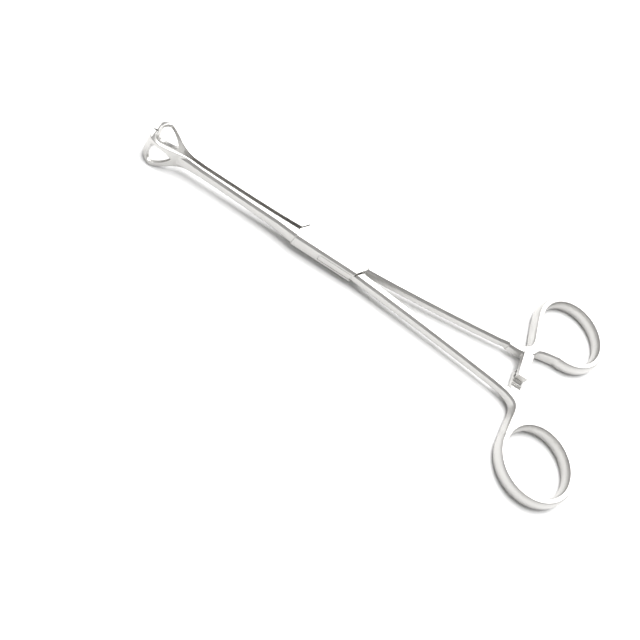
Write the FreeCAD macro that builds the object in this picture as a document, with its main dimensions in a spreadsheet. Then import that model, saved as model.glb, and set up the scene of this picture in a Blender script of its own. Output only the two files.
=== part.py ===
import FreeCAD, Part
import os
import Sketcher

# Tissue forceps with a box lock, looped jaws, a ratchet and two finger rings.
# +X runs from the jaws to the rings, +Z is square to the plane of the rings, and the origin is
# the middle of the instrument. A station is a distance from the jaw tips along X.
# A reach is a distance from the instrument's centre plane along Y.

SIZES = (
    # Hinge and finger rings
    ("pin_station", 63.3),
    ("ring_station", 146.9),
    ("ring_reach", 26.2),
    ("ring_radius", 12.25),
    ("ring_wall", 2.9),
    ("ring_height", 5.2),
    ("ring_flat", 1.5),
    # Bevel along the edges of the box, arms and shanks
    ("bevel_width", 0.7),
    ("bevel_height", 0.87),
    ("inner_bevel", 0.1),
    # Box lock
    ("box_flat", 6.5),
    ("box_height", 5.2),
    ("shoulder_near", 9.5),
    ("shoulder_far", 12.0),
    ("shoulder_gap", 0.3),
    ("web_thickness", 2.1),
    ("web_clearance", 0.05),
    ("web_side_gap", 0.2),
    ("web_root", 1.5),
    ("wedge_station", 2.7),
    ("split_gap", 0.5),
    ("pin_radius", 1.25),
    ("pin_clearance", 0.03),
    # Jaw loops, seen from above
    ("tip_gap", 0.3),
    ("bar_depth", 1.7),
    ("bar_thickness", 1.7),
    ("bulge_station", 4.1),
    ("bulge_reach", 4.1),
    ("jaw_wall", 1.2),
    ("throat_station", 8.6),
    ("throat_reach", 2.1),
    ("neck_station", 14.0),
    # Jaw loops, seen from the side
    ("bar_height", 8.1),
    ("loop_height", 9.9),
    ("loop_rim", 1.45),
    ("loop_back_height", 6.6),
    ("neck_height", 4.4),
    ("window_front", 2.0),
    ("window_back", 8.7),
    ("window_end_height", 5.2),
    ("serration_pitch", 0.8),
    ("serration_depth", 0.3),
    # Arms between the jaws and the box
    ("arm_gap", 1.0),
    ("arm_width", 1.5),
    ("arm_height", 3.7),
    ("arm_middle_width", 1.85),
    ("arm_rear_width", 2.25),
    ("arm_rear_height", 4.2),
    ("arm_root_width", 3.32),
    ("arm_root_drop", 0.04),
    # Shanks
    ("shank_height", 3.8),
    ("shank_root_reach", 3.65),
    ("shank_middle_reach", 6.0),
    ("shank_middle_width", 3.0),
    ("knee_setback", 22.9),
    ("knee_reach", 8.9),
    ("knee_width", 2.25),
    # Ratchet arms
    ("ratchet_setback", 14.3),
    ("ratchet_width", 3.7),
    ("ratchet_height", 2.25),
    ("ratchet_overlap", 1.7),
    ("ratchet_clearance", 0.1),
    ("ratchet_root_reach", 8.6),
    ("tooth_start", 0.3),
    ("tooth_pitch", 1.6),
    ("tooth_depth", 0.8),
)
SERRATIONS = 9
TEETH = 4

doc = FreeCAD.newDocument("tissue_forceps")
sheet = doc.addObject("Spreadsheet::Sheet", "Sizes")


class Term:
    """A size with its value and the expression that ties it to the sheet."""

    def __init__(self, value, text):
        self.value = value
        self.text = text

    def join(self, sign, other, value):
        return Term(value, "(%s %s %s)" % (self.text, sign, other.text))

    def __add__(self, other):
        other = term(other)
        return self.join("+", other, self.value + other.value)

    def __sub__(self, other):
        other = term(other)
        return self.join("-", other, self.value - other.value)

    def __mul__(self, other):
        other = term(other)
        return self.join("*", other, self.value * other.value)

    def __truediv__(self, other):
        other = term(other)
        return self.join("/", other, self.value / other.value)

    def __rsub__(self, other):
        return term(other) - self

    def __neg__(self):
        return self * -1


def term(size):
    """Takes a term, or a plain number that has no size of its own."""
    if isinstance(size, Term):
        return size
    return Term(float(size), "(%s)" % repr(float(size)))


def fill_sheet():
    """Writes the driving sizes to the sheet and returns them as terms by name."""
    sizes = {}
    for row, (name, value) in enumerate(SIZES, start=1):
        sheet.set("A%d" % row, name)
        sheet.set("B%d" % row, str(value))
        sheet.setAlias("B%d" % row, name)
        sizes[name] = Term(float(value), "Sizes.%s" % name)
    doc.recompute()
    return sizes


S = fill_sheet()
HALF_LENGTH = (S["ring_station"] + S["ring_radius"] + S["ring_wall"] / 2) / 2


def along(station):
    """X of a station."""
    return term(station) - HALF_LENGTH


PIN_X = along(S["pin_station"])
FLAT_HALF = S["box_flat"] / 2
BOX_HALF = FLAT_HALF + S["bevel_width"]
SPLIT_HALF = S["split_gap"] / 2
LOOP_HALF = S["loop_height"] / 2
ARM_HALF = S["arm_height"] / 2
ARM_NEAR = S["arm_gap"] / 2
TIP_HALF = S["tip_gap"] / 2
RATCHET = S["ring_station"] - S["ratchet_setback"]
KNEE = S["ring_station"] - S["knee_setback"]
SHOULDER_SLOPE = (S["shoulder_far"] - S["shoulder_near"]) / (FLAT_HALF + SPLIT_HALF)


def new_body(name):
    """A body whose label names its file."""
    body = doc.addObject("PartDesign::Body", name)
    body.Label = name
    return body


def new_sketch(body, name, role, offset=None):
    """A sketch on one of the body's own origin planes, moved along its normal by an offset."""
    sketch = body.newObject("Sketcher::SketchObject", name)
    plane = [item for item in body.Origin.OriginFeatures if item.Role == role][0]
    sketch.AttachmentSupport = [(plane, "")]
    sketch.MapMode = "FlatFace"
    if offset is not None:
        sketch.AttachmentOffset = FreeCAD.Placement(
            FreeCAD.Vector(0, 0, offset.value), FreeCAD.Rotation())
        sketch.setExpression("AttachmentOffset.Base.z", offset.text)
    return sketch


def vector(point):
    """The starting place of a point given as two terms."""
    return FreeCAD.Vector(point[0].value, point[1].value, 0)


def arc_through(start, via, end):
    """A counter-clockwise arc, and whether its ends are swapped against the outline's way round."""
    arc = Part.Arc(start, via, end)
    circle = arc.toShape().Curve
    turn = (via - start).cross(end - via).z
    first, last = (start, end) if turn > 0 else (end, start)
    plain = Part.Circle(circle.Center, FreeCAD.Vector(0, 0, 1), circle.Radius)
    low = plain.parameter(first)
    high = plain.parameter(last)
    return Part.ArcOfCircle(plain, low, high), turn < 0


def tie_point(sketch, geometry, position, point, label):
    """Ties a point of the sketch to two terms."""
    for axis, size in (("X", point[0]), ("Y", point[1])):
        index = sketch.addConstraint(
            Sketcher.Constraint("Distance" + axis, geometry, position, size.value))
        sketch.renameConstraint(index, "%s_%s" % (label, axis.lower()))
        sketch.setExpression("Constraints.%s_%s" % (label, axis.lower()), size.text)


def draw_outline(sketch, stops):
    """Draws one closed outline.

    A stop is a corner and, where the edge to the next corner is curved, a point that the arc
    passes through.
    """
    base = sketch.GeometryCount
    corners = [tuple(term(size) for size in stop[0]) for stop in stops]
    vias = [tuple(term(size) for size in stop[1]) if len(stop) > 1 else None for stop in stops]
    ends = []
    for index, corner in enumerate(corners):
        start = vector(corner)
        end = vector(corners[(index + 1) % len(corners)])
        if vias[index] is None:
            geometry = sketch.addGeometry(Part.LineSegment(start, end), False)
            ends.append((geometry, 1, 2))
        else:
            arc, swapped = arc_through(start, vector(vias[index]), end)
            geometry = sketch.addGeometry(arc, False)
            ends.append((geometry, 2, 1) if swapped else (geometry, 1, 2))
    for index, (geometry, first, last) in enumerate(ends):
        other, other_first, _ = ends[(index + 1) % len(ends)]
        sketch.addConstraint(
            Sketcher.Constraint("Coincident", geometry, last, other, other_first))
    for index, (geometry, first, last) in enumerate(ends):
        tie_point(sketch, geometry, first, corners[index], "corner_%d_%d" % (base, index))
        if vias[index] is not None:
            mark = sketch.addGeometry(Part.Point(vector(vias[index])), True)
            sketch.addConstraint(Sketcher.Constraint("PointOnObject", mark, 1, geometry))
            tie_point(sketch, mark, 1, vias[index], "via_%d_%d" % (base, index))


def mirror_reach(stops, sign):
    """The same outline on the other side of the centre plane."""
    return [tuple((point[0], term(point[1]) * sign) for point in stop) for stop in stops]


def mirror_first(stops, sign):
    """The same outline with its first coordinate on the other side."""
    return [tuple((term(point[0]) * sign, point[1]) for point in stop) for stop in stops]


def both_ways(feature, length):
    """Makes a pad or pocket reach the same distance both ways from its sketch."""
    feature.SideType = "Symmetric"
    feature.Length = length.value
    feature.setExpression("Length", length.text)


def pad(body, name, role, outlines, length, offset=None):
    """A pad of one or more outlines, the same height both ways from its plane."""
    sketch = new_sketch(body, name + "_sketch", role, offset)
    for stops in outlines:
        draw_outline(sketch, stops)
    doc.recompute()
    feature = body.newObject("PartDesign::Pad", name)
    feature.Profile = sketch
    both_ways(feature, length)
    doc.recompute()
    return feature


def pad_bevelled(body, name, stops, height):
    """A pad with straight sides at mid-height and a steep bevel above and below them."""
    core = height - S["bevel_height"] * 2
    pad(body, name, "XY_Plane", [stops], core)
    for side, word in ((1, "top"), (-1, "bottom")):
        sketch = new_sketch(body, "%s_%s_sketch" % (name, word), "XY_Plane", core / 2 * side)
        draw_outline(sketch, stops)
        doc.recompute()
        feature = body.newObject("PartDesign::Pad", "%s_%s" % (name, word))
        feature.Profile = sketch
        feature.Reversed = side < 0
        feature.Length = S["bevel_height"].value
        feature.setExpression("Length", S["bevel_height"].text)
        angle = "-atan(%s / %s)" % (S["bevel_width"].text, S["bevel_height"].text)
        feature.setExpression("TaperAngle", angle)
        doc.recompute()


def octagon(near, far, half, near_bevel):
    """A bevelled bar's section, between two reaches and of the given half height."""
    bevel = S["bevel_width"]
    core = half - S["bevel_height"]
    return [
        ((near + near_bevel, -half),),
        ((far - bevel, -half),),
        ((far, -core),),
        ((far, core),),
        ((far - bevel, half),),
        ((near + near_bevel, half),),
        ((near, core),),
        ((near, -core),),
    ]


def loft(body, name, sections):
    """A bar through sections square to the instrument's length."""
    sketches = []
    for index, (station, stops) in enumerate(sections):
        sketch = new_sketch(body, "%s_%d" % (name, index), "YZ_Plane", along(station))
        draw_outline(sketch, stops)
        sketches.append(sketch)
    doc.recompute()
    feature = body.newObject("PartDesign::AdditiveLoft", name)
    feature.Profile = sketches[0]
    feature.Sections = sketches[1:]
    feature.Ruled = True
    doc.recompute()


def pocket(body, name, role, outlines, length, offset=None):
    """A pocket of one or more outlines, the same depth both ways from its plane."""
    before = body.Shape.Volume
    sketch = new_sketch(body, name + "_sketch", role, offset)
    for stops in outlines:
        draw_outline(sketch, stops)
    doc.recompute()
    feature = body.newObject("PartDesign::Pocket", name)
    feature.Profile = sketch
    both_ways(feature, length)
    doc.recompute()
    if not body.Shape.Volume < before:
        raise RuntimeError("%s cuts nothing" % name)
    return feature


def repeat(body, name, feature, axis, pitch, count):
    """Repeats a feature along its sketch's first or second axis."""
    pattern = body.newObject("PartDesign::LinearPattern", name)
    pattern.Originals = [feature]
    pattern.Direction = (feature.Profile[0], [axis])
    pattern.Length = (pitch * (count - 1)).value
    pattern.setExpression("Length", (pitch * (count - 1)).text)
    pattern.Occurrences = count
    body.Tip = pattern
    doc.recompute()
    return pattern


def jaw_outline():
    """One jaw's bowed loop seen from above, on the +Y side."""
    wall = S["jaw_wall"]
    bulge = S["bulge_station"]
    bulge_in = S["bulge_reach"]
    throat = S["throat_station"]
    throat_in = S["throat_reach"]
    neck = S["neck_station"]
    neck_in = ARM_NEAR + S["inner_bevel"]
    neck_out = ARM_NEAR + S["arm_width"] - S["bevel_width"]
    bar = S["bar_depth"]
    bar_out = TIP_HALF + S["bar_thickness"]
    front = (bar + bulge) / 2
    back = (bulge + throat) / 2
    rear = (throat + neck) / 2
    return [
        ((along(0), TIP_HALF),),
        ((along(bar), TIP_HALF), (along(front - bar * 0.35), bulge_in * 0.74)),
        ((along(bulge), bulge_in), (along(back), throat_in + (bulge_in - throat_in) * 0.56)),
        ((along(throat), throat_in), (along(rear), neck_in + (throat_in - neck_in) * 0.33)),
        ((along(neck), neck_in),),
        ((along(neck), neck_out), (along(rear), neck_out + (throat_in - neck_in) * 0.4)),
        ((along(throat + wall / 2), throat_in + wall * 0.8),
         (along(back + wall / 2), throat_in + wall + (bulge_in - throat_in) * 0.5)),
        ((along(bulge), bulge_in + wall), (along(front - bar), bulge_in * 0.96)),
        ((along(0), bar_out),),
    ]


def loop_trim():
    """The space above the jaw loop, seen from the side."""
    over = LOOP_HALF + 3
    bar = S["bar_depth"]
    bar_half = S["bar_height"] / 2
    bulge = S["bulge_station"] - 0.2
    back = S["throat_station"] + 0.4
    back_half = S["loop_back_height"] / 2
    neck = S["neck_station"]
    neck_half = S["neck_height"] / 2
    return [
        ((along(-2), bar_half),),
        ((along(bar * 0.6), bar_half), (along((bar + bulge) / 2 - 0.3), LOOP_HALF - 0.25)),
        ((along(bulge), LOOP_HALF), (along((bulge + back) / 2), (LOOP_HALF + back_half) / 2 + 0.15)),
        ((along(back), back_half), (along((back + neck) / 2), (back_half + neck_half) / 2 - 0.15)),
        ((along(neck), neck_half),),
        ((along(neck + 2), neck_half),),
        ((along(neck + 2), over),),
        ((along(-2), over),),
    ]


def window_outline():
    """The loop's opening, seen from the side."""
    front = S["window_front"]
    back = S["window_back"]
    front_half = S["window_end_height"] / 2
    high = LOOP_HALF - S["loop_rim"]
    wide = S["bulge_station"] - 0.2
    middle = (wide + back) / 2 + 0.5
    corner = front + 0.5
    return [
        ((along(front), front_half), (along(corner), (front_half + high) / 2 + 0.15)),
        ((along(wide), high), (along(middle), high * 0.62)),
        ((along(back), 0), (along(middle), high * -0.62)),
        ((along(wide), -high), (along(corner), (front_half + high) / -2 - 0.15)),
        ((along(front), -front_half),),
    ]


def shank_outline():
    """One shank seen from above, on the +Y side, up to the middle of its finger ring's wall."""
    root = S["pin_station"] + S["shoulder_near"] - 1
    middle = (root + KNEE) / 2
    middle_out = S["shank_middle_reach"]
    middle_in = middle_out - S["shank_middle_width"]
    knee_out = S["knee_reach"]
    knee_in = knee_out - S["knee_width"]
    arm_end = RATCHET + S["ratchet_width"]
    ring_x = S["ring_station"]
    ring_y = S["ring_reach"]
    radius = S["ring_radius"]
    left = ring_x - radius
    near = ring_y - radius
    return [
        ((along(root), SPLIT_HALF), (along(middle), middle_in)),
        ((along(KNEE), knee_in), (along((KNEE + RATCHET) / 2), knee_in + 0.75)),
        ((along(RATCHET), knee_in + 0.5),),
        ((along(arm_end), knee_in + 1.5), (along(arm_end + 0.8), knee_out + 2.4)),
        ((along(arm_end + 3.2), near - 1.1),),
        ((along(ring_x - 2.5), near - 1.1),),
        ((along(ring_x - radius * 0.2), ring_y - radius * 0.98),
         (along(ring_x - radius * 0.745), ring_y - radius * 0.667)),
        ((along(ring_x - radius * 0.94), ring_y - radius * 0.342),
         (along(left - 0.35), ring_y - radius * 0.56)),
        ((along(left + 0.8), ring_y - radius * 0.78), (along(left - 0.4), ring_y - radius * 1.18)),
        ((along(left - 4.6), knee_out + 0.8),),
        ((along(KNEE), knee_out), (along(middle), middle_out)),
        ((along(root), S["shank_root_reach"]),),
    ]


def ring_section():
    """A finger ring's section at the ring's far wall: bowed flanks between two narrow flats."""
    half_wall = S["ring_wall"] / 2
    half_height = S["ring_height"] / 2
    half_flat = S["ring_flat"] / 2
    centre = along(S["ring_station"] + S["ring_radius"])
    return [
        ((centre + half_flat, -half_height), (centre + half_wall, 0)),
        ((centre + half_flat, half_height),),
        ((centre - half_flat, half_height), (centre - half_wall, 0)),
        ((centre - half_flat, -half_height),),
    ]


def add_ring(body, side):
    """The finger ring, its section revolved round the finger hole's middle."""
    ring_x = along(S["ring_station"])
    section = new_sketch(body, "ring_section", "XZ_Plane", S["ring_reach"] * -side)
    draw_outline(section, ring_section())
    axis = section.addGeometry(
        Part.LineSegment(FreeCAD.Vector(ring_x.value, -5, 0), FreeCAD.Vector(ring_x.value, 5, 0)), True)
    section.addConstraint(Sketcher.Constraint("Vertical", axis))
    tie_point(section, axis, 1, (ring_x, -S["ring_height"]), "axis")
    doc.recompute()
    ring = body.newObject("PartDesign::Revolution", "ring")
    ring.Profile = section
    ring.ReferenceAxis = (section, ["Axis0"])
    ring.Angle = 360.0
    doc.recompute()


def add_ratchet_arm(body, side):
    """The ratchet arm with its row of one-way teeth, which face the other half's."""
    low = S["ratchet_clearance"] / 2
    middle = (low + S["ratchet_height"] / 2) * side
    left = along(RATCHET)
    right = along(RATCHET + S["ratchet_width"])
    root = S["ratchet_root_reach"]
    tip = -S["ratchet_overlap"]
    outline = [((left, tip),), ((right, tip),), ((right, root),), ((left, root),)]
    pad(body, "ratchet_arm", "XY_Plane", [mirror_reach(outline, side)], S["ratchet_height"], middle)

    start = tip + S["tooth_start"]
    face = low * side
    deep = (low + S["tooth_depth"]) * side
    notch = [
        ((start * side, face - side * 0.05),),
        ((start * side, deep),),
        (((start + S["tooth_pitch"]) * side, face - side * 0.05),),
    ]
    cut = pocket(body, "tooth_gap", "YZ_Plane", [notch], S["ratchet_width"] + 2,
                 along(RATCHET + S["ratchet_width"] / 2))
    pattern = repeat(body, "tooth_row", cut, "H_Axis", S["tooth_pitch"], TEETH)
    pattern.Reversed = side < 0
    doc.recompute()


def add_serrations(body, side):
    """Fine grooves across the tip bar's gripping face."""
    face = -TIP_HALF * side
    deep = -(TIP_HALF + S["serration_depth"]) * side
    first = -S["serration_pitch"] * ((SERRATIONS - 1) / 2)
    half = S["serration_pitch"] * 0.38
    out = side * 0.05
    groove = [
        ((face + out, first - half),),
        ((deep, first),),
        ((face + out, first + half),),
    ]
    cut = pocket(body, "serration", "YZ_Plane", [groove], (S["bar_depth"] + 0.2) * 2, along(0))
    repeat(body, "serration_row", cut, "V_Axis", S["serration_pitch"], SERRATIONS)


def drill(body, name, radius):
    """The hinge pin's hole."""
    sketch = new_sketch(body, name + "_sketch", "XY_Plane")
    circle = sketch.addGeometry(
        Part.Circle(FreeCAD.Vector(PIN_X.value, 0, 0), FreeCAD.Vector(0, 0, 1), radius.value), False)
    tie_point(sketch, circle, 3, (PIN_X, term(0)), "centre")
    index = sketch.addConstraint(Sketcher.Constraint("Radius", circle, radius.value))
    sketch.renameConstraint(index, "hole_radius")
    sketch.setExpression("Constraints.hole_radius", radius.text)
    doc.recompute()
    hole = body.newObject("PartDesign::Pocket", name)
    hole.Profile = sketch
    both_ways(hole, S["box_height"] * 2)
    doc.recompute()


def shoulder_cuts():
    """The two corners that the slanted shoulders take off the box, seen from above."""
    near = S["shoulder_near"]
    far = S["shoulder_far"]
    side = BOX_HALF + 1
    end = far + 1
    slant = near - SHOULDER_SLOPE * (side - FLAT_HALF)
    return [
        [
            ((PIN_X - end, -SPLIT_HALF),),
            ((PIN_X - far, -SPLIT_HALF),),
            ((PIN_X - slant, side),),
            ((PIN_X - end, side),),
        ],
        [
            ((PIN_X + end, SPLIT_HALF),),
            ((PIN_X + far, SPLIT_HALF),),
            ((PIN_X + slant, -side),),
            ((PIN_X + end, -side),),
        ],
    ]


def cheek_room():
    """The cheeks' outline, grown by the gap at each shoulder."""
    gap = S["shoulder_gap"]
    far = S["shoulder_far"] + gap
    side = BOX_HALF + 1
    slant = S["shoulder_near"] + gap - SHOULDER_SLOPE * (side - FLAT_HALF)
    return [
        ((PIN_X - far, -side),),
        ((PIN_X + slant, -side),),
        ((PIN_X + far, SPLIT_HALF),),
        ((PIN_X + far, side),),
        ((PIN_X - slant, side),),
        ((PIN_X - far, -SPLIT_HALF),),
    ]


def slot_outline():
    """The web's path through the box, open at both shoulders and bounded by two wedge walls."""
    far = S["shoulder_far"]
    wedge = S["wedge_station"]
    end = far + 2
    side = BOX_HALF + 2
    return [
        ((PIN_X - end, -SPLIT_HALF),),
        ((PIN_X - far, -SPLIT_HALF),),
        ((PIN_X - wedge, -BOX_HALF),),
        ((PIN_X - wedge, -side),),
        ((PIN_X + end, -side),),
        ((PIN_X + end, SPLIT_HALF),),
        ((PIN_X + far, SPLIT_HALF),),
        ((PIN_X + wedge, BOX_HALF),),
        ((PIN_X + wedge, side),),
        ((PIN_X - end, side),),
    ]


def web_outline():
    """The web, from inside the jaw arm to inside the shank, clear of the wedge walls."""
    near = S["shoulder_near"]
    far = S["shoulder_far"]
    wedge = S["wedge_station"] - S["web_side_gap"]
    end = far + S["web_root"]
    side = BOX_HALF - 0.05
    inner = SPLIT_HALF + 0.4
    outer = inner + 1
    lip = SPLIT_HALF - 0.1
    return [
        ((PIN_X - end, inner),),
        ((PIN_X - far, lip),),
        ((PIN_X - wedge, -side),),
        ((PIN_X + near - 1, -side),),
        ((PIN_X + end, -outer),),
        ((PIN_X + end, -inner),),
        ((PIN_X + far, -lip),),
        ((PIN_X + wedge, side),),
        ((PIN_X - near + 1, side),),
        ((PIN_X - end, outer),),
    ]


def add_box(body):
    """The bevelled box with its two slanted shoulders."""
    section = octagon(-BOX_HALF, BOX_HALF, S["box_height"] / 2, S["bevel_width"])
    pad(body, "box", "YZ_Plane", [section], S["shoulder_far"] * 2, PIN_X)
    pocket(body, "shoulders", "XY_Plane", shoulder_cuts(), S["box_height"] * 2)


def clear_cheeks(body):
    """Cuts the web half's arm and shank back from the cheeks, above and below the web."""
    room = cheek_room()
    half = S["web_thickness"] / 2
    depth = S["box_height"] - half
    for side, word in ((1, "upper"), (-1, "lower")):
        pocket(body, word + "_cheek_room", "XY_Plane", [room], depth, (half + depth / 2) * side)


def add_arm(body, side):
    """The arm from the jaw's neck to the box, through bevelled sections."""
    neck = S["neck_station"]
    reach = S["pin_station"] - S["shoulder_near"] - neck
    neck_half = S["neck_height"] / 2
    width = S["arm_width"]
    rear = S["arm_rear_height"] / 2
    root = S["box_height"] / 2 - S["arm_root_drop"]
    stops = (
        (neck - 3.5, ARM_NEAR + 0.75, width * 0.64, neck_half + 0.2),
        (neck, ARM_NEAR, width, neck_half - 0.02),
        (neck + reach * 0.1, ARM_NEAR, width, ARM_HALF + 0.02),
        (neck + reach * 0.25, ARM_NEAR, width + 0.08, ARM_HALF),
        (neck + reach * 0.5, ARM_NEAR, S["arm_middle_width"], ARM_HALF),
        (neck + reach * 0.76, ARM_NEAR, S["arm_rear_width"], rear),
        (neck + reach, ARM_NEAR + 0.1, S["arm_root_width"], root),
    )
    sections = []
    for station, near, wide, half in stops:
        sections.append((station, mirror_first(octagon(near, near + wide, half, S["inner_bevel"]), side)))
    loft(body, "arm", sections)


def build_half(name, side):
    """One forged half: its jaw is on one side of the centre plane and its ring on the other."""
    body = new_body(name)
    add_ring(body, side)
    pad_bevelled(body, "shank", mirror_reach(shank_outline(), side), S["shank_height"])
    add_ratchet_arm(body, side)
    if side > 0:
        add_box(body)
        add_arm(body, -side)
    else:
        pad(body, "web", "XY_Plane", [web_outline()], S["web_thickness"])
        add_arm(body, -side)
        clear_cheeks(body)

    jaw = mirror_reach(jaw_outline(), -side)
    pad(body, "jaw", "XY_Plane", [jaw], S["loop_height"] + 1)
    trim = loop_trim()
    pocket(body, "jaw_side", "XZ_Plane", [trim, mirror_reach(trim, -1)], S["box_flat"] * 4)
    pocket(body, "jaw_window", "XZ_Plane", [window_outline()], S["box_flat"] * 4)
    add_serrations(body, side)

    if side > 0:
        pocket(body, "slot", "XY_Plane", [slot_outline()], S["web_thickness"] + S["web_clearance"] * 2)
        drill(body, "pin_hole", S["pin_radius"])
    else:
        drill(body, "pin_bore", S["pin_radius"] + S["pin_clearance"])
    return body


def build_pin():
    """The hinge pin, ground flush with both cheeks."""
    body = new_body("pivot_pin")
    sketch = new_sketch(body, "pin_sketch", "XY_Plane")
    circle = sketch.addGeometry(
        Part.Circle(FreeCAD.Vector(PIN_X.value, 0, 0), FreeCAD.Vector(0, 0, 1),
                    S["pin_radius"].value), False)
    tie_point(sketch, circle, 3, (PIN_X, term(0)), "centre")
    index = sketch.addConstraint(Sketcher.Constraint("Radius", circle, S["pin_radius"].value))
    sketch.renameConstraint(index, "shaft_radius")
    sketch.setExpression("Constraints.shaft_radius", S["pin_radius"].text)
    doc.recompute()
    shaft = body.newObject("PartDesign::Pad", "shaft")
    shaft.Profile = sketch
    both_ways(shaft, S["box_height"])
    doc.recompute()
    return body


def write_parts(bodies):
    """Checks every object and writes each sub-part to its own file."""
    for item in doc.Objects:
        if "Invalid" in item.State or "Error" in item.State:
            raise RuntimeError("%s failed" % item.Name)
    os.makedirs("parts", exist_ok=True)
    for body in bodies:
        if body.Shape.isNull() or not body.Shape.isValid() or len(body.Shape.Solids) != 1:
            raise RuntimeError("%s is not one valid solid" % body.Label)
        body.Shape.exportStep("parts/%s.step" % body.Label)


write_parts([build_half("female_half", 1), build_half("male_half", -1), build_pin()])
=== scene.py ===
import math

import bmesh
import bpy
from mathutils import Matrix, Vector


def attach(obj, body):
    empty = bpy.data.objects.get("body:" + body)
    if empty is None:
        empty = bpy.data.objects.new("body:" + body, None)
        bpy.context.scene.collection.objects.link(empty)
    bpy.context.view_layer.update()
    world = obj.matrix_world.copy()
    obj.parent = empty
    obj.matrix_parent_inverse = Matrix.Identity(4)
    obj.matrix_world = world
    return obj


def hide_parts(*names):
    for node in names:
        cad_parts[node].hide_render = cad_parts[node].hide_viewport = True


MM = 0.001

# Camera: a hand-held close view, with strong perspective
CAMERA_PLACE = Vector((-51.9, -185.4, 212.0)) * MM
CAMERA_AZIMUTH = math.radians(-14.16)
CAMERA_ELEVATION = math.radians(51.78)
CAMERA_ROLL = math.radians(-43.58)
CAMERA_LENS = 52.77
SENSOR = 36.0

# Steel
STEEL_COLOUR = (0.57, 0.562, 0.545, 1.0)
STEEL_ROUGHNESS = 0.4
GRAIN_LENGTH = 14.0
GRAIN_SCALE = 9000.0
CLOUD_SCALE = 160.0
MARK_SCALE = 900.0
GRAIN_STRENGTH = 0.12
GRAIN_DEPTH = 0.02 * MM
PIN_ROUGHER = 0.03
EDGE_VOXEL = 0.13 * MM
EDGE_SMOOTHING = 9

# Halves: node, body, material slot and the side of its finger ring
HALVES = (
    ("female_half", "box_body", "female_steel", 1),
    ("male_half", "web_body", "male_steel", -1),
)

# Ring roots: sections from the shank into the finger ring on the +Y side, in mm.
# Each has an outer, a middle and an inner point, and the top's height.
ROOT_SECTIONS = (
    ((47.0, 9.35), (47.0, 8.1), (47.0, 6.85), 1.85),
    ((50.6, 10.1), (51.0, 8.7), (51.6, 7.1), 1.95),
    ((53.5, 11.8), (54.4, 10.4), (55.6, 8.3), 2.2),
    ((54.2, 14.4), (56.0, 12.9), (57.4, 10.7), 2.4),
    ((53.8, 18.6), (57.0, 15.5), (60.4, 11.9), 2.55),
    ((53.3, 24.4), (57.9, 17.5), (64.7, 12.85), 2.6),
)
ROOT_BEVEL = 0.65
ROOT_DROP = 0.8
ROOT_STEPS = 6

# Stage
FLOOR_SIZE = 4.0
FLOOR_GAP = 0.02 * MM
JAW_REST = Vector((-76.2, -4.95))
RING_REST = Vector((79.6, -2.6))
FLOOR_COLOUR = (0.9, 0.9, 0.9, 1.0)
SPECKLE_SCALE = 300.0

# Lights, each aimed at the middle of the instrument: the turn from +Y and the height in degrees,
# the distance and the size in metres, and the power in watts
KEY = (0.0, 78.0, 0.9, (0.75, 0.75), 11.5)
PANEL = (10.0, 48.0, 1.0, (1.5, 0.8), 8.0)
ROOM_BRIGHTNESS = 0.45


def new_material(name):
    """An empty node material with its shader and output."""
    material = bpy.data.materials.new(name)
    material.use_nodes = True
    nodes = material.node_tree.nodes
    return material, nodes, material.node_tree.links, nodes["Principled BSDF"]


def noise(nodes, links, vector, scale, detail, roughness=0.5):
    """A noise texture of the given scale."""
    node = nodes.new("ShaderNodeTexNoise")
    node.inputs["Scale"].default_value = scale
    node.inputs["Detail"].default_value = detail
    node.inputs["Roughness"].default_value = roughness
    links.new(vector, node.inputs["Vector"])
    return node.outputs["Fac"]


def remap(nodes, links, value, low, high, to_low, to_high):
    """A value moved from one range to another."""
    node = nodes.new("ShaderNodeMapRange")
    node.inputs["From Min"].default_value = low
    node.inputs["From Max"].default_value = high
    node.inputs["To Min"].default_value = to_low
    node.inputs["To Max"].default_value = to_high
    links.new(value, node.inputs["Value"])
    return node.outputs["Result"]


def steel(name, colour, roughness):
    """Satin stainless steel: fine grain along the instrument, soft cloudiness and handling marks."""
    material, nodes, links, shader = new_material(name)
    place = nodes.new("ShaderNodeTexCoord").outputs["Object"]
    stretch = nodes.new("ShaderNodeMapping")
    stretch.inputs["Scale"].default_value = (1.0 / GRAIN_LENGTH, 1.0, 1.0)
    links.new(place, stretch.inputs["Vector"])

    grain = noise(nodes, links, stretch.outputs["Vector"], GRAIN_SCALE, 3.0, 0.65)
    clouds = noise(nodes, links, place, CLOUD_SCALE, 4.0)
    marks = noise(nodes, links, place, MARK_SCALE, 5.0, 0.7)

    rough_clouds = remap(nodes, links, clouds, 0.3, 0.7, roughness - 0.05, roughness + 0.06)
    rough_marks = remap(nodes, links, marks, 0.55, 0.75, 0.0, 0.08)
    total = nodes.new("ShaderNodeMath")
    total.operation = "ADD"
    links.new(rough_clouds, total.inputs[0])
    links.new(rough_marks, total.inputs[1])
    links.new(total.outputs["Value"], shader.inputs["Roughness"])

    tint = nodes.new("ShaderNodeMix")
    tint.data_type = "RGBA"
    tint.inputs["A"].default_value = tuple(channel * 0.93 for channel in colour[:3]) + (1.0,)
    tint.inputs["B"].default_value = colour
    links.new(clouds, tint.inputs["Factor"])
    links.new(tint.outputs["Result"], shader.inputs["Base Color"])

    bump = nodes.new("ShaderNodeBump")
    bump.inputs["Strength"].default_value = GRAIN_STRENGTH
    bump.inputs["Distance"].default_value = GRAIN_DEPTH
    links.new(grain, bump.inputs["Height"])
    links.new(bump.outputs["Normal"], shader.inputs["Normal"])
    shader.inputs["Metallic"].default_value = 1.0
    return material


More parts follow.
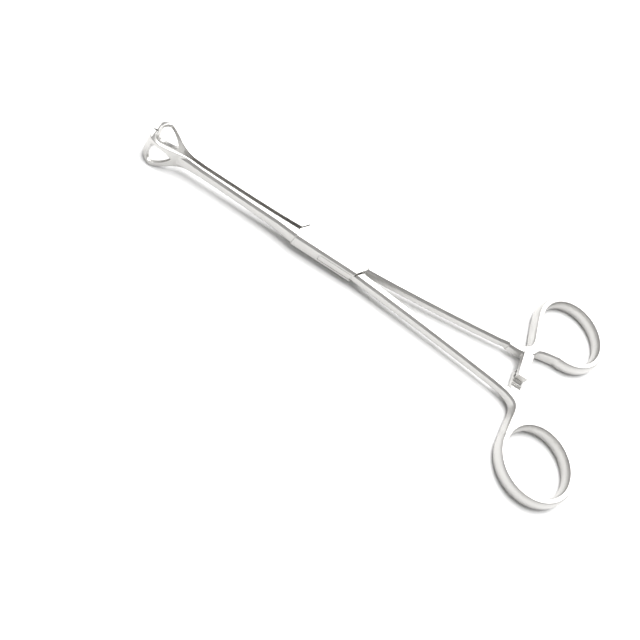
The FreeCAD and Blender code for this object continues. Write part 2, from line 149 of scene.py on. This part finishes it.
def smooth_between(rows, steps):
    """Rows along a smooth curve through the given rows of numbers."""
    rows = [Vector(row) for row in rows]
    rows = [rows[0] * 2 - rows[1], *rows, rows[-1] * 2 - rows[-2]]
    found = []
    for before, start, end, after in zip(rows, rows[1:], rows[2:], rows[3:]):
        for step in range(steps):
            t = step / steps
            bend = (before - start * 3 + end * 3 - after) * -t ** 3
            bend += (before * 2 - start * 5 + end * 4 - after) * t ** 2
            found.append(start + ((end - before) * t + bend) / 2)
    return found + [rows[-2]]


def root_loop(row, side):
    """One closed section of a ring root, bevelled above and below."""
    outer, middle, inner = Vector(row[0:2]), Vector(row[2:4]), Vector(row[4:6])
    high = row[6]
    upper = [
        (outer, high - ROOT_DROP),
        (outer + (middle - outer).normalized() * ROOT_BEVEL, high),
        (middle, high),
        (inner + (middle - inner).normalized() * ROOT_BEVEL, high),
        (inner, high - ROOT_DROP),
    ]
    lower = [(place, -height) for place, height in reversed(upper)]
    return [Vector((place.x, place.y * side, height)) * MM for place, height in upper + lower]


def add_root(mesh, side):
    """Adds the forged root through which a shank flows into its finger ring."""
    rows = [(*outer, *middle, *inner, high) for outer, middle, inner, high in ROOT_SECTIONS]
    loops = []
    for row in smooth_between(rows, ROOT_STEPS):
        loops.append([mesh.verts.new(place) for place in root_loop(row, side)])
    faces = [mesh.faces.new(loops[0]), mesh.faces.new(loops[-1])]
    for near, far in zip(loops, loops[1:]):
        for i, vertex in enumerate(near):
            faces.append(mesh.faces.new((near[i - 1], vertex, far[i], far[i - 1])))
    bmesh.ops.recalc_face_normals(mesh, faces=faces)


def forged_half(node, body, side):
    """One half as it was forged: the CAD half with its ring's root flowing into the shank."""
    mesh = bmesh.new()
    mesh.from_mesh(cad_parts[node].data)
    add_root(mesh, side)
    data = bpy.data.meshes.new(node + "_forged")
    mesh.to_mesh(data)
    mesh.free()
    piece = bpy.data.objects.new(node + "_forged", data)
    bpy.context.scene.collection.objects.link(piece)
    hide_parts(node)
    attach(piece, body)
    return piece


def soften(node):
    """Gives a forged piece softly rounded edges by modifiers."""
    weld = node.modifiers.new("join", "WELD")
    weld.merge_threshold = 0.001 * MM
    remesh = node.modifiers.new("skin", "REMESH")
    remesh.mode = "VOXEL"
    remesh.voxel_size = EDGE_VOXEL
    remesh.use_smooth_shade = True
    smooth = node.modifiers.new("round", "SMOOTH")
    smooth.factor = 0.5
    smooth.iterations = EDGE_SMOOTHING


def paint(node, material):
    """Puts one material on the whole of a node."""
    node.data.materials.clear()
    node.data.materials.append(material)


def camera():
    """The camera, at the photograph's place and turn."""
    away = Vector((
        math.cos(CAMERA_ELEVATION) * math.sin(CAMERA_AZIMUTH),
        -math.cos(CAMERA_ELEVATION) * math.cos(CAMERA_AZIMUTH),
        math.sin(CAMERA_ELEVATION),
    ))
    right = Vector((math.cos(CAMERA_AZIMUTH), math.sin(CAMERA_AZIMUTH), 0.0))
    up = away.cross(right)
    across = right * math.cos(CAMERA_ROLL) - up * math.sin(CAMERA_ROLL)
    upright = away.cross(across)
    data = bpy.data.cameras.new("camera")
    data.lens = CAMERA_LENS
    data.sensor_width = SENSOR
    data.clip_start = 0.01
    obj = bpy.data.objects.new("camera", data)
    turn = Matrix((across, upright, away)).transposed().to_4x4()
    obj.matrix_world = Matrix.Translation(CAMERA_PLACE) @ turn
    bpy.context.scene.collection.objects.link(obj)
    bpy.context.scene.camera = obj


def floor(front, back):
    """A plain white table through two points below the instrument, each an (x, z) pair."""
    half = FLOOR_SIZE / 2
    slope = (back[1] - front[1]) / (back[0] - front[0])
    mesh = bpy.data.meshes.new("floor")
    corners = []
    for x, y in ((-half, -half), (half, -half), (half, half), (-half, half)):
        corners.append((x, y, front[1] + slope * (x - front[0]) - FLOOR_GAP))
    mesh.from_pydata(corners, [], [(0, 1, 2, 3)])
    obj = bpy.data.objects.new("floor", mesh)
    bpy.context.scene.collection.objects.link(obj)
    material, nodes, links, shader = new_material("white_table")
    place = nodes.new("ShaderNodeTexCoord").outputs["Object"]
    speckle = noise(nodes, links, place, SPECKLE_SCALE, 2.0)
    links.new(remap(nodes, links, speckle, 0.0, 1.0, 0.62, 0.7), shader.inputs["Roughness"])
    shader.inputs["Base Color"].default_value = FLOOR_COLOUR
    shader.inputs["Specular IOR Level"].default_value = 0.1
    obj.data.materials.append(material)


def softbox(name, turn, height, distance, size, power):
    """An area light aimed at the middle of the instrument."""
    data = bpy.data.lights.new(name, "AREA")
    data.shape = "RECTANGLE"
    data.size, data.size_y = size
    data.energy = power
    obj = bpy.data.objects.new(name, data)
    azimuth = math.radians(turn)
    elevation = math.radians(height)
    away = Vector((
        math.sin(azimuth) * math.cos(elevation),
        math.cos(azimuth) * math.cos(elevation),
        math.sin(elevation),
    ))
    obj.location = away * distance
    obj.rotation_euler = (-away).to_track_quat("-Z", "Y").to_euler()
    bpy.context.scene.collection.objects.link(obj)


def surroundings(strength):
    """A dim, even room."""
    world = bpy.data.worlds.new("room")
    bpy.context.scene.world = world
    world.use_nodes = True
    back = world.node_tree.nodes["Background"]
    back.inputs["Color"].default_value = (1.0, 1.0, 1.0, 1.0)
    back.inputs["Strength"].default_value = strength


def bright_print():
    """Plain tones, so that the white table and the steel's top faces print white."""
    bpy.context.scene.view_settings.view_transform = "Standard"


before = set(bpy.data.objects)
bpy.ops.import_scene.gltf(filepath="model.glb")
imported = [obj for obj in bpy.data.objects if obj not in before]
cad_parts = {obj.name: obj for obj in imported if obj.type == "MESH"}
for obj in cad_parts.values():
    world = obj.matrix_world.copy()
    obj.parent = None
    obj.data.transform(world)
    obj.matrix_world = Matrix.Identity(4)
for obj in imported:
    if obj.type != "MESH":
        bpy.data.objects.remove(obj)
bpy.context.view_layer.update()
for node, body, slot, side in HALVES:
    half = forged_half(node, body, side)
    soften(half)
    paint(half, steel("steel_" + node, STEEL_COLOUR, STEEL_ROUGHNESS))
paint(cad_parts["pivot_pin"], steel("steel_pin", STEEL_COLOUR, STEEL_ROUGHNESS + PIN_ROUGHER))

floor(JAW_REST * MM, RING_REST * MM)
camera()
softbox("key", *KEY)
softbox("panel", *PANEL)
surroundings(ROOM_BRIGHTNESS)
bright_print()
